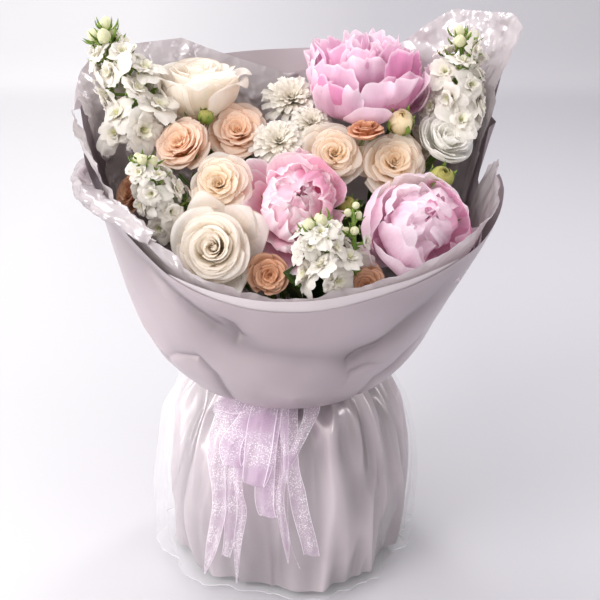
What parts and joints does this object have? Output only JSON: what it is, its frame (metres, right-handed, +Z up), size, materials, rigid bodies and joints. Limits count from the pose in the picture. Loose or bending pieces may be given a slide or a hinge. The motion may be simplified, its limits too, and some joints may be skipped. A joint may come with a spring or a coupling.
{
  "type": "bunch of peonies",
  "caption": "Hand-tied bunch of pink peonies with white and peach roses, white stock and chrysanthemums, wrapped in pearl film over crumpled tissue, with a flared skirt and an organza ribbon.",
  "frame": {"origin": "middle of the middle stem's cut end, on the surface the bunch stands on", "axes": "+Z up along the stems, -Y towards the front of the bunch, +X towards its right seen from the front"},
  "size_m": [0.377, 0.2678, 0.5302],
  "materials": {
    "peony_petal": "matte",
    "white_rose_petal": "matte",
    "peach_rose_petal": "matte",
    "mum_petal": "matte",
    "stock_petal": "matte",
    "bud": "matte",
    "stem": "satin",
    "pearl_film": "satin",
    "clear_film": "gloss",
    "tissue": "satin",
    "twine": "matte",
    "ribbon": "satin"
  },
  "bodies": {
    "root": {"back_film": "pearl_film", "back_tissue": "tissue", "binding_twine": "twine", "bud_1": "bud", "bud_2": "bud", "bud_3": "bud", "bud_4": "bud", "clear_skirt": "clear_film", "film_skirt": "pearl_film", "front_film": "pearl_film", "front_tissue": "tissue", "mum_1": "mum_petal", "mum_2": "mum_petal", "mum_3": "mum_petal", "mum_spray_stem": "stem", "peach_rose_1": "peach_rose_petal", "peach_rose_2": "peach_rose_petal", "peach_rose_3": "peach_rose_petal", "peach_rose_4": "peach_rose_petal", "peach_rose_5": "peach_rose_petal", "peach_rose_6": "peach_rose_petal", "peach_rose_7": "peach_rose_petal", "peach_rose_8": "peach_rose_petal", "peach_rose_9": "peach_rose_petal", "peach_spray_stem_1": "stem", "peach_spray_stem_2": "stem", "peach_spray_stem_3": "stem", "peach_spray_stem_4": "stem", "peach_spray_stem_5": "stem", "peony_1": "peony_petal", "peony_2": "peony_petal", "peony_3": "peony_petal", "peony_stem_1": "stem", "peony_stem_2": "stem", "peony_stem_3": "stem", "ribbon_band": "ribbon", "ribbon_bow": "ribbon", "stock_1": "stock_petal", "stock_2": "stock_petal", "stock_3": "stock_petal", "stock_4": "stock_petal", "stock_5": "stock_petal", "stock_stem_1": "stem", "stock_stem_2": "stem", "stock_stem_3": "stem", "stock_stem_4": "stem", "stock_stem_5": "stem", "white_rose_1": "white_rose_petal", "white_rose_2": "white_rose_petal", "white_rose_3": "white_rose_petal", "white_rose_4": "white_rose_petal", "white_rose_stem_1": "stem", "white_rose_stem_2": "stem", "white_rose_stem_3": "stem", "white_rose_stem_4": "stem"}
  },
  "joints": []
}
